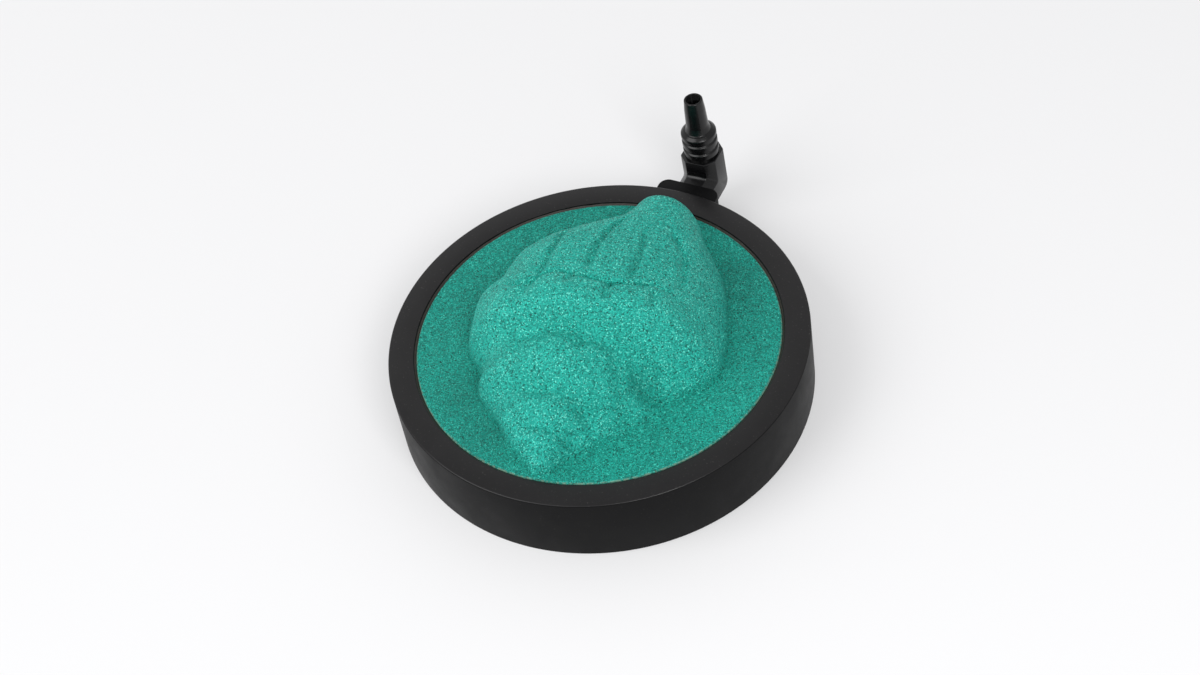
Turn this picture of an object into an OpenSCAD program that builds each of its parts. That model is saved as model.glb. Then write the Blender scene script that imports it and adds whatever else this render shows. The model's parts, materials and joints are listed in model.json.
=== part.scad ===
// Aquarium air stone disc: a porous stone with a conch relief, bonded in a round tray,
// fed with air through an elbow that turns in a socket at the back.
// Millimetres. Origin at the middle of the tray's underside, +Z up, +Y towards the inlet.

/* [Tray] */
// Outer diameter of the tray
tray_d = 110; // [88:1:140]
// Height of the tray, from its underside to the rim
tray_h = 19.7; // [16:0.1:26]
// Width of the flat rim
rim_w = 6.75; // [5.6:0.05:9]
// Wall thickness of the skirt, rim and cup
wall = 2; // [1.5:0.1:2.4]
// Thickness of the floor
floor_t = 2; // [1.6:0.1:3]
// Rounding of the rim's outer edge
rim_edge_r = 0.6; // [0.2:0.1:1.2]
// Width of the ledge that the stone sits on
ledge_w = 3.2; // [2.2:0.1:5]
// Depth of the recess in the underside
recess_depth = 0.6; // [0.2:0.1:0.8]
// Radius of the flat pad in the middle of the underside
pad_r = 8; // [5:0.5:14]
// Width of the flat ring at the edge of the underside
foot_ring_w = 4; // [2:0.5:8]
// Diameter of the posts that hold the stone off the floor
post_d = 4; // [3:0.5:6]
// Distance between the posts
post_pitch = 15.5; // [12:0.5:20]
// Thickness of the ribs under the rim
rib_t = 1.4; // [1:0.1:2]
// Number of ribs under the rim
rib_count = 16; // [8:2:24]

/* [Stone] */
// Thickness of the stone's flat plate
plate_t = 6; // [4.5:0.1:8]
// Depth of the plate's face below the rim
stone_drop = 0.75; // [0.3:0.05:2]
// Width of the sealant bead round the stone
bead_w = 0.6; // [0.4:0.1:1.5]
// Height of the conch above the plate
relief_h = 25; // [12:0.5:30]
// Gap between the ends of the conch and the edge of the stone
relief_margin = 0.6; // [0.3:0.1:4]
// How far the whorls swell between their seams, as a share of the conch's height
whorl_swell = 0.16; // [0:0.01:0.25]
// Depth of the grooves between the conch's ribs
groove_depth = 0.9; // [0:0.1:1.5]

/* [Inlet] */
// Width of the tab round the inlet
tab_w = 17.5; // [15.5:0.5:24]
// Distance from the skirt to the tab's outer face
tab_out = 5.8; // [4:0.1:10]
// Depth of the tab's top below the rim
tab_drop = 2.7; // [2.2:0.1:3.5]
// Radius of the tab's upright corners
tab_corner_r = 2.8; // [1:0.1:4]
// Depth of the inlet's axis below the tab's top
inlet_depth = 6.5; // [6:0.1:7]
// Diameter of the elbow's spigot
spigot_d = 7.5; // [6.2:0.1:9]
// Length of the spigot
spigot_l = 10.8; // [10:0.1:12]
// Radial clearance of the spigot in its socket
spigot_gap = 0.06; // [0.02:0.01:0.1]
// Clearance between the spigot's end and the bottom of the socket
socket_end_gap = 0.4; // [0.2:0.1:1]
// Diameter of the airway through the spigot
air_d = 3; // [2:0.1:3.2]

/* [Elbow] */
// How far the elbow is turned from upright at rest
elbow_turn = -2; // [-90:0.5:90]
// Width of the elbow's eight-sided legs
leg_w = 10.4; // [9.4:0.1:13]
// Leg of the chamfers along the elbow
leg_chamfer = 2.4; // [1:0.1:3]
// Distance from the tab to the axis of the upright leg
leg_reach = 9; // [8:0.1:14]
// Height of the upright leg above the inlet's axis
leg_rise = 10.3; // [9:0.1:16]
// Rounding of the outside of the bend
bend_r = 3; // [1:0.1:4]
// Clearance between the elbow and the tab
elbow_gap = 0.3; // [0.1:0.1:1]
// Diameter over the rings of the large barb
barb_d = 9.8; // [8:0.1:10]
// Length of the large barb
barb_l = 8.7; // [6:0.1:12]
// Number of rings on the large barb
barb_rings = 3; // [2:1:4]
// Diameter of the small hose tip
tip_d = 4.9; // [4.6:0.1:6]
// Bore of the small hose tip
tip_bore_d = 3.8; // [3:0.1:4]
// Length of the small hose tip
tip_l = 10.8; // [8:0.1:16]

/* [Hidden] */
$fn = 96;
eps = 0.01;

tray_r = tray_d / 2;
cup_r = tray_r - rim_w;
chamber_r = cup_r - ledge_w;
plate_z = tray_h - stone_drop;
seat_z = plate_z - plate_t;
stone_r = cup_r - bead_w;
skin_gap = 0.03;

tab_y = tray_r + tab_out;
tab_z = tray_h - tab_drop;
inlet_z = tab_z - inlet_depth;
spigot_r = spigot_d / 2;
socket_r = spigot_r + spigot_gap;
socket_l = spigot_l + socket_end_gap;
airway_z = min(inlet_z, seat_z - air_d / 2 - 0.8);

snap_rise = 0.28;
snap_w = 1.2;
snap_at = 4.2;
snap_play = 0.15;

o_ring_d = 1.5;
o_ring_gap = 0.03;
o_ring_groove_r = spigot_r - o_ring_d - 2 * o_ring_gap;
o_ring_groove_w = o_ring_d + 0.3;
o_ring_at = spigot_l - 2.2;

half = leg_w / 2;
flat = half - leg_chamfer;
bend_fillet_r = 0.8;
ring_pitch = barb_l / barb_rings;
ring_neck = 0.65;
ring_depth = 0.42;
ring_lead = 0.35;
tip_flare_l = 5;
tip_flare_r = 0.42;
tip_edge = 0.2;

// ---- tray ----

// Material left over in a square corner once it is rounded
module corner_waste(r) {
    difference() {
        translate([-eps, -eps]) square(r + 1);
        circle(r);
    }
}

module tray_profile() {
    difference() {
        union() {
            translate([tray_r - wall, 0]) square([wall, tray_h]);
            translate([cup_r, tray_h - wall]) square([rim_w, wall]);
            translate([cup_r, seat_z - wall]) square([wall, tray_h - seat_z + wall]);
            translate([chamber_r, seat_z - wall]) square([ledge_w + wall, wall]);
            translate([chamber_r, 0]) square([wall, seat_z]);
            square([chamber_r + wall, floor_t]);
        }
        translate([tray_r - rim_edge_r, tray_h - rim_edge_r]) corner_waste(rim_edge_r);
        translate([pad_r, -eps]) square([chamber_r - foot_ring_w - pad_r, recess_depth + eps]);
    }
}

module tray_posts() {
    for (ring_r = [post_pitch : post_pitch : chamber_r - post_d]) {
        count = round(2 * PI * ring_r / post_pitch);
        for (i = [0 : count - 1]) {
            rotate(i * 360 / count)
                translate([ring_r, 0, floor_t - eps])
                    cylinder(d = post_d, h = seat_z - floor_t + eps);
        }
    }
}

module tray_ribs() {
    low_r = chamber_r + wall / 2;
    high_r = cup_r + wall / 2;
    out_r = tray_r - wall / 2;
    for (i = [0 : rib_count - 1]) {
        rotate((i + 0.5) * 360 / rib_count) {
            translate([low_r, -rib_t / 2, 1]) cube([out_r - low_r, rib_t, seat_z - wall / 2 - 1]);
            translate([high_r, -rib_t / 2, 1]) cube([out_r - high_r, rib_t, tray_h - wall / 2 - 1]);
        }
    }
}

// The boss reaches from the cup's wall out through the skirt and ends in the tab
module inlet_boss() {
    low_r = chamber_r + wall / 2;
    high_r = cup_r + wall / 2;
    linear_extrude(seat_z - wall / 2) boss_plan(low_r);
    linear_extrude(tab_z) boss_plan(high_r);
}

module boss_plan(inner_r) {
    x = tab_w / 2 - tab_corner_r;
    y = tab_y - tab_corner_r;
    difference() {
        union() {
            translate([-tab_w / 2, 0]) square([tab_w, y]);
            translate([-x, 0]) square([2 * x, tab_y]);
            for (side = [-1, 1]) translate([side * x, y]) circle(tab_corner_r);
        }
        circle(inner_r);
    }
}

// Socket, snap groove and airway, cut along the inlet's axis
module inlet_cut() {
    translate([0, tab_y, inlet_z]) rotate([90, 0, 0]) {
        translate([0, 0, -1]) cylinder(r = socket_r, h = socket_l + 1);
        translate([0, 0, snap_at - snap_play])
            cylinder(r = socket_r + snap_rise, h = snap_w + 2 * snap_play);
    }
    translate([0, tab_y - socket_l + 1, airway_z]) rotate([90, 0, 0])
        cylinder(d = air_d, h = tab_y - socket_l + 2 - chamber_r);
}

module tray() {
    color("#1d1d1f") difference() {
        union() {
            rotate_extrude() tray_profile();
            tray_posts();
            tray_ribs();
            inlet_boss();
        }
        inlet_cut();
    }
}

// ---- stone ----

// Outline of the conch at full size: place along it, left edge, right edge, height.
// Lengths are shares of the conch's half length, heights are shares of relief_h.
stations = [
    [-1.00, 0.08, 0.12, 0.00],
    [-0.94, 0.01, 0.18, 0.16],
    [-0.85, -0.14, 0.21, 0.32],
    [-0.72, -0.28, 0.28, 0.46],
    [-0.57, -0.43, 0.33, 0.62],
    [-0.42, -0.57, 0.37, 0.78],
    [-0.30, -0.66, 0.47, 0.88],
    [-0.19, -0.70, 0.67, 0.96],
    [-0.06, -0.72, 0.74, 1.00],
    [0.06, -0.71, 0.74, 0.98],
    [0.21, -0.67, 0.69, 0.92],
    [0.38, -0.58, 0.62, 0.82],
    [0.55, -0.47, 0.53, 0.70],
    [0.68, -0.34, 0.42, 0.62],
    [0.80, -0.22, 0.31, 0.54],
    [0.91, -0.16, 0.23, 0.44],
    [0.97, -0.08, 0.15, 0.24],
    [1.00, 0.00, 0.07, 0.00]
];
apex_y = -1.01;
first_seam = 0.66;
seam_ratio = 0.575;
helix = 0.25;
shoulder_y = 0.07;
rib_grooves = [-0.72, -0.2, 0.24, 0.62];
groove_w = 1.1;
shell_l = stone_r - relief_margin;

// Smooth value of column k of the stations at y, by a Catmull-Rom curve
function station_slope(i, k) =
    let (a = max(i - 1, 0), b = min(i + 1, len(stations) - 1))
    (stations[b][k] - stations[a][k]) / (stations[b][0] - stations[a][0]);
function station_index(y, i = 0) =
    i >= len(stations) - 2 || y < stations[i + 1][0] ? i : station_index(y, i + 1);
function hermite(s, h, v0, v1, m0, m1) =
    (2 * s ^ 3 - 3 * s ^ 2 + 1) * v0 + (s ^ 3 - 2 * s ^ 2 + s) * h * m0
    + (3 * s ^ 2 - 2 * s ^ 3) * v1 + (s ^ 3 - s ^ 2) * h * m1;
function outline(y, k) =
    let (
        i = station_index(y),
        h = stations[i + 1][0] - stations[i][0],
        s = (y - stations[i][0]) / h
    )
    hermite(s, h, stations[i][k], stations[i + 1][k], station_slope(i, k), station_slope(i + 1, k));

function clamp(v, low, high) = min(max(v, low), high);
function smooth(v) = let (s = clamp(v, 0, 1)) s * s * (3 - 2 * s);

// Swell of the surface between two seams, 0 at a seam and near 1 at mid whorl.
// The seams wind round the conch, so they move along it with t, the place across it.
function swell(y, t) =
    let (
        turn = ln(first_seam / max(y - apex_y, 0.01)) / ln(1 / seam_ratio) + helix * t,
        seam_y = apex_y + first_seam * exp(helix * t * ln(1 / seam_ratio)),
        part = clamp((y - seam_y) / (shoulder_y - seam_y), 0, 1)
    )
    y > shoulder_y ? 0.55
    : turn > 0 ? pow(sin(180 * (turn - floor(turn))), 0.7)
    : pow(sin(144 * part), 0.7);

// Grooves between the ribs that run from the shoulder to the canal
function rib_relief(y, t, half_w) =
    let (
        near = min([for (g = rib_grooves) abs(t - g) * half_w]),
        fade = smooth((y - shoulder_y) / 0.05) * smooth((0.75 - y) / 0.35)
    )
    groove_depth * fade * exp(-(near / groove_w) ^ 2);

// Height of the conch above the plate, at a point in mm
function conch(px, py) =
    let (y = py / shell_l, x = px / shell_l)
    abs(y) >= 1 ? 0 :
    let (
        left = outline(y, 1),
        right = outline(y, 2),
        top = max(outline(y, 3), 0) * relief_h,
        half_w = max((right - left) / 2, 0.01),
        t = (x - (left + right) / 2) / half_w,
        size = 1 + whorl_swell * (swell(y, clamp(t, -1, 1)) - 0.55) * smooth((y + 1) / 0.17),
        across = abs(t) / sqrt(size)
    )
    across >= 1 ? 0 :
    max(top * size * pow(1 - pow(across, 2.3), 0.62) - rib_relief(y, t, half_w * shell_l), 0);

// The face is a square grid drawn out to a disc, so that its cells stay even
cells = 60;
function disc_point(u, v) =
    u == 0 && v == 0 ? [0, 0]
    : abs(u) >= abs(v) ? u * [cos(45 * v / u), sin(45 * v / u)]
    : v * [sin(45 * u / v), cos(45 * u / v)];
function grid_place(i) = 2 * i / cells - 1;
function grid_id(i, j) = i * (cells + 1) + j;

module diffuser_stone() {
    face_points = [
        for (i = [0 : cells]) for (j = [0 : cells])
            let (p = stone_r * disc_point(grid_place(i), grid_place(j)))
            [p[0], p[1], plate_z + conch(p[0], p[1])]
    ];
    edge = [
        for (i = [0 : cells - 1]) grid_id(i, 0),
        for (j = [0 : cells - 1]) grid_id(cells, j),
        for (i = [cells : -1 : 1]) grid_id(i, cells),
        for (j = [cells : -1 : 1]) grid_id(0, j)
    ];
    count = len(edge);
    first = len(face_points);
    base_points = [for (id = edge) [face_points[id][0], face_points[id][1], seat_z]];
    top_faces = [
        for (i = [0 : cells - 1]) for (j = [0 : cells - 1]) for (part = [0, 1])
            part == 0
            ? [grid_id(i, j), grid_id(i, j + 1), grid_id(i + 1, j + 1)]
            : [grid_id(i, j), grid_id(i + 1, j + 1), grid_id(i + 1, j)]
    ];
    side_faces = [
        for (k = [0 : count - 1])
            let (n = (k + 1) % count)
            [edge[k], edge[n], first + n, first + k]
    ];
    base_face = [for (k = [0 : count - 1]) first + k];
    color("#23a58c")
        polyhedron(concat(face_points, base_points), concat(top_faces, side_faces, [base_face]));
}

module stone_sealant() {
    color("#6b5a48") translate([0, 0, seat_z]) difference() {
        cylinder(r = cup_r - skin_gap, h = plate_t - 0.2);
        translate([0, 0, -1]) cylinder(r = stone_r + skin_gap, h = plate_t + 2);
    }
}

// ---- elbow ----
// Drawn about the middle of the tab's outer face: +Y points out of the socket.

module at_inlet() {
    translate([0, tab_y, inlet_z]) rotate([0, elbow_turn, 0]) children();
}

module leg_section() {
    polygon([
        [half, flat], [flat, half], [-flat, half], [-half, flat],
        [-half, -flat], [-flat, -half], [flat, -half], [half, -flat]
    ]);
}

// Everything on the tab's side of the mitre between the two legs
module mitre_side() {
    big = 6 * leg_w;
    translate([-big / 2, leg_reach, 0]) rotate([45, 0, 0]) translate([0, -big, -big / 2])
        cube([big, big, big]);
}

module elbow_legs() {
    intersection() {
        translate([0, elbow_gap, 0]) rotate([-90, 0, 0])
            linear_extrude(leg_reach + half - elbow_gap) leg_section();
        mitre_side();
    }
    difference() {
        translate([0, leg_reach, -half]) linear_extrude(leg_rise + half) leg_section();
        mitre_side();
    }
    // fillet inside the bend
    translate([-flat, leg_reach - half - bend_fillet_r, half - eps]) difference() {
        cube([2 * flat, bend_fillet_r + eps, bend_fillet_r + eps]);
        translate([-1, 0, bend_fillet_r + eps]) rotate([0, 90, 0])
            cylinder(r = bend_fillet_r, h = leg_w);
    }
}

// Material outside the rounded heel of the bend
module heel_waste() {
    translate([-leg_w, leg_reach + half - bend_r, -half + bend_r]) difference() {
        translate([0, 0, -bend_r - 1]) cube([2 * leg_w, bend_r + 1, bend_r + 1]);
        rotate([0, 90, 0]) cylinder(r = bend_r, h = 2 * leg_w);
    }
}

module spigot() {
    rotate([90, 0, 0]) {
        translate([0, 0, -elbow_gap - eps]) difference() {
            cylinder(r = spigot_r, h = spigot_l + elbow_gap + eps);
            translate([0, 0, o_ring_at - o_ring_groove_w / 2 + elbow_gap + eps]) difference() {
                cylinder(r = spigot_r + 1, h = o_ring_groove_w);
                cylinder(r = o_ring_groove_r, h = o_ring_groove_w);
            }
        }
        translate([0, 0, snap_at]) cylinder(r = spigot_r + snap_rise, h = snap_w / 2);
        translate([0, 0, snap_at + snap_w / 2])
            cylinder(r1 = spigot_r + snap_rise, r2 = spigot_r, h = snap_w / 2);
    }
}

// Ring by ring outline of the large barb, from its foot up
module large_barb() {
    r = barb_d / 2;
    translate([0, leg_reach, leg_rise]) rotate_extrude() union() {
        translate([0, -eps]) square([r - ring_depth, barb_l + eps - ring_lead]);
        for (i = [0 : barb_rings - 1]) translate([0, i * ring_pitch])
            polygon([
                [0, ring_neck], [r - ring_depth, ring_neck], [r, ring_neck + ring_depth / 2],
                [r, ring_pitch - ring_lead], [r - ring_lead, ring_pitch], [0, ring_pitch]
            ]);
    }
}

module small_tip() {
    r = tip_d / 2;
    translate([0, leg_reach, leg_rise + barb_l]) rotate_extrude()
        polygon([
            [0, -eps], [r + 2 * tip_flare_r, -eps], [r + tip_flare_r, tip_flare_l / 4],
            [r, tip_flare_l], [r, tip_l - tip_edge], [r - tip_edge, tip_l], [0, tip_l]
        ]);
}

module elbow_airway() {
    top = leg_rise + barb_l + tip_l;
    translate([0, leg_reach, 0]) {
        cylinder(d = tip_bore_d, h = top + 1);
        sphere(d = tip_bore_d);
        rotate([90, 0, 0]) cylinder(d = air_d, h = leg_reach + spigot_l + 1);
    }
}

module swivel_elbow() {
    color("#161618") at_inlet() difference() {
        union() {
            difference() {
                elbow_legs();
                heel_waste();
            }
            spigot();
            large_barb();
            small_tip();
        }
        elbow_airway();
    }
}

module inlet_o_ring() {
    color("#0c0c0c") at_inlet() translate([0, -o_ring_at, 0]) rotate([90, 0, 0])
        rotate_extrude() translate([o_ring_groove_r + o_ring_gap + o_ring_d / 2, 0])
            circle(d = o_ring_d);
}

tray();
diffuser_stone();
stone_sealant();
swivel_elbow();
inlet_o_ring();
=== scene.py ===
import bpy
import bmesh
import json
import math
import numpy as np
from mathutils import Matrix, Vector, noise


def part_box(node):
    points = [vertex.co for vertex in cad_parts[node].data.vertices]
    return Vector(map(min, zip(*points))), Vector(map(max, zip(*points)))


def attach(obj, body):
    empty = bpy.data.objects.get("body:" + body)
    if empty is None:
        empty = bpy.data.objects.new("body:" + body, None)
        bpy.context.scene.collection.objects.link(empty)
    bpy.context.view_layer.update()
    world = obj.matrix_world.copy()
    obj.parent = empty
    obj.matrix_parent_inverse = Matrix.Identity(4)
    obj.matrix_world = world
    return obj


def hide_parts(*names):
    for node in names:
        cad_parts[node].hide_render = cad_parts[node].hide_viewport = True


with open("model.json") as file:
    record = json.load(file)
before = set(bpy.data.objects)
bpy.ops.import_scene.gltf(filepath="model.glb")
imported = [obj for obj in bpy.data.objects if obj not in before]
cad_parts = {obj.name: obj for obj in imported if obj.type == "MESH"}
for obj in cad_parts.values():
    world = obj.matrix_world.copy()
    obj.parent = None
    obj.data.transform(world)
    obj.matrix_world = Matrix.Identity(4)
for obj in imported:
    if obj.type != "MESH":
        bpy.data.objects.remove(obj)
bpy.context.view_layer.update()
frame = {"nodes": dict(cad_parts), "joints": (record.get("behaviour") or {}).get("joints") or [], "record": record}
print("frame loaded:", ", ".join(sorted(frame["nodes"])))

mm = 0.001
scene = bpy.context.scene


# small helpers

def hexToLinear(code):
    # sRGB hex to the linear colour that shaders work in
    parts = [int(code[i:i + 2], 16) / 255 for i in (1, 3, 5)]
    return tuple(c / 12.92 if c <= 0.04045 else ((c + 0.055) / 1.055) ** 2.4 for c in parts) + (1.0,)


def addNode(tree, kind, inputs=None, **settings):
    # inputs maps a socket's name or number to a value or to another node's output
    node = tree.nodes.new(kind)
    for name, value in settings.items():
        setattr(node, name, value)
    for name, value in (inputs or {}).items():
        if isinstance(value, bpy.types.NodeSocket):
            tree.links.new(value, node.inputs[name])
        else:
            node.inputs[name].default_value = value
    return node


def newMaterial(name, colour):
    material = bpy.data.materials.new(name)
    material.use_nodes = True
    material.diffuse_color = hexToLinear(colour)
    tree = material.node_tree
    tree.nodes.clear()
    shader = addNode(tree, "ShaderNodeBsdfPrincipled")
    addNode(tree, "ShaderNodeOutputMaterial", {"Surface": shader.outputs["BSDF"]})
    return material, tree, shader


def meshObject(name, points, faces, material):
    mesh = bpy.data.meshes.new(name)
    mesh.from_pydata([tuple(p) for p in points], [], faces)
    mesh.validate()
    mesh.materials.append(material)
    piece = bpy.data.objects.new(name, mesh)
    scene.collection.objects.link(piece)
    return piece


def fixNormals(piece):
    shape = bmesh.new()
    shape.from_mesh(piece.data)
    bmesh.ops.recalc_face_normals(shape, faces=shape.faces)
    shape.to_mesh(piece.data)
    shape.free()


def applyModifiers(piece):
    # the mesh as its modifiers leave it
    graph = bpy.context.evaluated_depsgraph_get()
    done = bpy.data.meshes.new_from_object(piece.evaluated_get(graph))
    old = piece.data
    piece.modifiers.clear()
    piece.data = done
    bpy.data.meshes.remove(old)


def combine(piece, other, operation):
    # joins or cuts two closed meshes, and drops the second
    cut = piece.modifiers.new("combine", "BOOLEAN")
    cut.operation = operation
    cut.object = other
    cut.solver = "MANIFOLD"
    bpy.context.view_layer.update()
    applyModifiers(piece)
    bpy.data.objects.remove(other)


def smoothFaces(piece, angle):
    piece.data.shade_smooth()
    piece.data.set_sharp_from_angle(angle=math.radians(angle))


def circlePoints(radius, count, centre=(0, 0)):
    turns = [2 * math.pi * k / count for k in range(count)]
    return [(centre[0] + radius * math.cos(a), centre[1] + radius * math.sin(a)) for a in turns]


def bevelEdges(piece, width, segments, angle):
    # rounds every edge sharper than the angle
    softEdge = piece.modifiers.new("edge", "BEVEL")
    softEdge.width = width
    softEdge.segments = segments
    softEdge.limit_method = "ANGLE"
    softEdge.angle_limit = math.radians(angle)
    bpy.context.view_layer.update()
    applyModifiers(piece)


def roundCorners(corners, steps=4):
    # corners are (x, y, radius); each is replaced with an arc that touches both its sides
    points = []
    count = len(corners)
    for i, (x, y, radius) in enumerate(corners):
        here = Vector((x, y))
        if radius <= 0:
            points.append(here)
            continue
        before = (Vector(corners[i - 1][:2]) - here).normalized()
        after = (Vector(corners[(i + 1) % count][:2]) - here).normalized()
        halfAngle = before.angle(after) / 2
        reach = radius / math.tan(halfAngle)
        centre = here + (before + after).normalized() * radius / math.sin(halfAngle)
        start = here + before * reach - centre
        turn = before.cross(after)
        sweep = math.copysign(math.pi - 2 * halfAngle, -turn)
        for k in range(steps + 1):
            points.append(centre + Matrix.Rotation(sweep * k / steps, 2) @ start)
    return points


def latheMesh(name, outline, segments, material):
    # turns a closed outline of (radius, height) round the Z axis; points on the axis become poles
    points, rings = [], []
    for r, z in outline:
        if r < 1e-7:
            rings.append([len(points)])
            points.append((0, 0, z))
            continue
        rings.append(list(range(len(points), len(points) + segments)))
        for k in range(segments):
            a = 2 * math.pi * k / segments
            points.append((r * math.cos(a), r * math.sin(a), z))
    faces = []
    for low, high in zip(rings, rings[1:] + rings[:1]):
        if len(low) == 1 and len(high) == 1:
            continue
        for k in range(segments):
            n = (k + 1) % segments
            if len(low) == 1:
                faces.append((low[0], high[n], high[k]))
            elif len(high) == 1:
                faces.append((low[k], low[n], high[0]))
            else:
                faces.append((low[k], low[n], high[n], high[k]))
    piece = meshObject(name, points, faces, material)
    fixNormals(piece)
    return piece


def prismMesh(name, outline, low, high, material, place=Matrix.Identity(4)):
    # a closed outline of (x, y) drawn out along Z, then put in place
    count = len(outline)
    points = [place @ Vector((x, y, low)) for x, y in outline]
    points += [place @ Vector((x, y, high)) for x, y in outline]
    faces = [tuple(range(count)), tuple(range(2 * count - 1, count - 1, -1))]
    for k in range(count):
        n = (k + 1) % count
        faces.append((k, n, count + n, count + k))
    piece = meshObject(name, points, faces, material)
    fixNormals(piece)
    return piece


# camera

cameraValues = {
    "azimuth": 33,          # degrees round from the front, towards +X
    "elevation": 48.17,
    "roll": -10.8,          # degrees that the camera is turned clockwise
    "distance": 0.5945,
    "target": (-8.75, 14.4, 0.0),   # mm
    "lens": 66,
    "sensorWidth": 36,
}


def placeCamera(values):
    azimuth, elevation, roll = (math.radians(values[k]) for k in ("azimuth", "elevation", "roll"))
    back = Vector((
        math.sin(azimuth) * math.cos(elevation),
        -math.cos(azimuth) * math.cos(elevation),
        math.sin(elevation),
    ))
    right = Vector((0, 0, 1)).cross(back).normalized()
    up = back.cross(right)
    turnedRight = right * math.cos(roll) + up * math.sin(roll)
    turnedUp = up * math.cos(roll) - right * math.sin(roll)
    data = bpy.data.cameras.new("camera")
    data.lens = values["lens"]
    data.sensor_width = values["sensorWidth"]
    camera = bpy.data.objects.new("camera", data)
    scene.collection.objects.link(camera)
    turn = Matrix((turnedRight, turnedUp, back)).transposed().to_4x4()
    place = Vector(values["target"]) * mm + back * values["distance"]
    camera.matrix_world = Matrix.Translation(place) @ turn
    scene.camera = camera


placeCamera(cameraValues)
print("camera placed")


# floor and light

studioValues = {
    "floor": "#c4c4c5",
    "floorShade": "#c1c1c2",
    "glowColour": "#fbfbfb",
    "floorGlow": 0.30,
    "floorSize": 6.0,            # metres
    "cloudWidth": 1 / 3,         # metres, the floor's faint unevenness
    "worldColour": "#f5f5f6",
    "worldStrength": 0.68,
    # name: place, size, what it points at (metres) and power (watts)
    "lights": {
        "backPanel": ((-0.375, 0.37, 0.3), (2.4, 0.6), (0, 0, 0.3), 1.0),
        "leftSoftbox": ((-0.61, -0.73, 0.86), (0.95, 0.95), (0, 0, 0), 8.2),
        "rightSoftbox": ((0.45, -0.40, 0.54), (0.3, 0.3), (0, 0, 0), 2.78),
    },
}


def makeFloor(values):
    material, tree, shader = newMaterial("opalAcrylic", values["floor"])
    # a light table's opal acrylic: matt, very slightly uneven, lit a little from below so shadows stay pale
    place = addNode(tree, "ShaderNodeTexCoord")
    cloud = addNode(tree, "ShaderNodeTexNoise", {
        "Vector": place.outputs["Object"], "Scale": 1 / values["cloudWidth"], "Detail": 2.0})
    ramp = addNode(tree, "ShaderNodeValToRGB", {"Fac": cloud.outputs["Fac"]})
    ramp.color_ramp.elements[0].color = hexToLinear(values["floorShade"])
    ramp.color_ramp.elements[1].color = hexToLinear(values["floor"])
    tree.links.new(ramp.outputs["Color"], shader.inputs["Base Color"])
    shader.inputs["Roughness"].default_value = 0.9
    shader.inputs["Specular IOR Level"].default_value = 0.1
    shader.inputs["Emission Color"].default_value = hexToLinear(values["glowColour"])
    shader.inputs["Emission Strength"].default_value = values["floorGlow"]
    half = values["floorSize"] / 2
    corners = [(-half, -half, 0), (half, -half, 0), (half, half, 0), (-half, half, 0)]
    floor = meshObject("floor", corners, [(0, 1, 2, 3)], material)


def makeLights(values):
    world = bpy.data.worlds.new("studio")
    scene.world = world
    world.use_nodes = True
    background = world.node_tree.nodes["Background"]
    background.inputs["Color"].default_value = hexToLinear(values["worldColour"])
    background.inputs["Strength"].default_value = values["worldStrength"]
    for name, (place, size, target, power) in values["lights"].items():
        data = bpy.data.lights.new(name, "AREA")
        data.shape = "RECTANGLE"
        data.size, data.size_y = size
        data.energy = power
        light = bpy.data.objects.new(name, data)
        light.visible_camera = False
        scene.collection.objects.link(light)
        aim = Vector(place) - Vector(target)
        light.matrix_world = Matrix.Translation(place) @ aim.to_track_quat("Z", "Y").to_matrix().to_4x4()


makeFloor(studioValues)
makeLights(studioValues)
scene.view_settings.view_transform = "Standard"
print("floor and lights made")


# moulded ABS

absValues = {
    # the wall's black is darker than the rim's: painted shade on the tray's side, besides its rougher, duller
    # finish
    "trayWall": {
        "colour": "#0a0a0b", "roughness": 0.48, "specular": 0.09, "grain": 0.35, "edgeHighlight": 0.0, "dust": 0.06},
    # the rim's top gets a lighter black: painted light on the upward face, besides its polished finish
    "trayRim": {
        "colour": "#131213", "roughness": 0.32, "specular": 0.30, "grain": 0.1, "edgeHighlight": 0.0, "dust": 0.16},
    # the elbow's convex edges get a painted highlight
    "elbow": {
        "colour": "#09090a", "roughness": 0.25, "specular": 0.32, "grain": 0.08, "edgeHighlight": 0.2, "dust": 0.08},
    # the same for all three; widths and depths are in mm
    "ior": 1.54,
    "grainWidth": 0.16,         # real spark erosion grain is 0.05 mm wide, drawn coarser so it shows
    "grainDepth": 0.02,
    "flowWidth": 9.6,           # soft flow marks of the plastic
    "flowContrast": 0.12,
    # grey painted on convex edges as a highlight
    "edgeHighlightColour": "#5b5b5c",
    "dustColour": "#8d8b88",
    "dustWidth": 0.45,
}


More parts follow.
